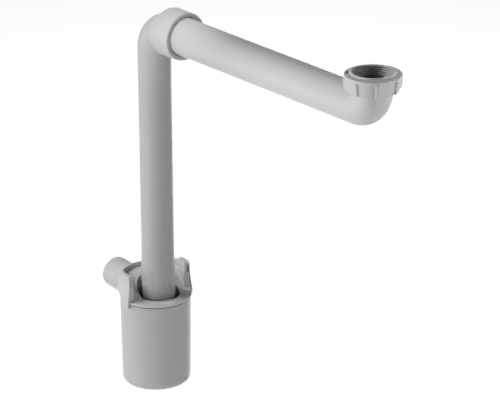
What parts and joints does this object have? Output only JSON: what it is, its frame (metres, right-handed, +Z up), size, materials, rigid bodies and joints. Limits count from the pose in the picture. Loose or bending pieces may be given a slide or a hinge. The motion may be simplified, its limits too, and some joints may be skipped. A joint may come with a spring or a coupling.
{
  "type": "sink trap",
  "caption": "Space-saving sink trap: deep cup with wall outlet, clipped cover, sliding dip tube, long swivelling arm and union nut for the basin waste.",
  "frame": {"origin": "centre of the wall outlet spigot's end face", "axes": "+X from the wall towards the dip tube, along the head's plane of symmetry; +Z up, along the dip tube"},
  "size_m": [0.4574, 0.102, 0.4461],
  "materials": {
    "body_grey": "satin",
    "cover_grey": "satin",
    "tube_grey": "satin",
    "arm_grey": "satin",
    "nut_grey": "satin",
    "seal_rubber": "matt"
  },
  "bodies": {
    "body": {"trap_body": "body_grey"},
    "cover": {"trap_cover": "cover_grey", "cover_seal": "seal_rubber"},
    "sleeve_ring": {"tube_seal": "seal_rubber"},
    "tube": {"dip_tube": "tube_grey"},
    "socket_ring": {"socket_seal": "seal_rubber"},
    "arm": {"outlet_arm": "arm_grey", "nut_washer": "seal_rubber"},
    "nut": {"union_nut": "nut_grey"}
  },
  "joints": [
    {"name": "cover_lift", "type": "slide", "parent": "body", "child": "cover", "axis": [0, 0, 1], "range_m": [0, 0.12]},
    {"name": "tube_swivel", "type": "hinge", "parent": "cover", "child": "sleeve_ring", "pos_m": [0.0863, 0, 0], "axis": [0, 0, 1], "continuous": true},
    {"name": "tube_height", "type": "slide", "parent": "sleeve_ring", "child": "tube", "axis": [0, 0, 1], "range_m": [-0.01, 0.03]},
    {"name": "arm_turn", "type": "hinge", "parent": "tube", "child": "socket_ring", "pos_m": [0.0863, 0, 0.3073], "axis": [0.9962, 0.0872, 0], "continuous": true},
    {"name": "arm_reach", "type": "slide", "parent": "socket_ring", "child": "arm", "axis": [0.9962, 0.0872, 0], "range_m": [-0.0031, 0.014]},
    {"name": "nut_spin", "type": "hinge", "parent": "arm", "child": "nut", "pos_m": [0.42859, 0.02995, 0.3073], "axis": [0, 0, 1], "continuous": true}
  ]
}
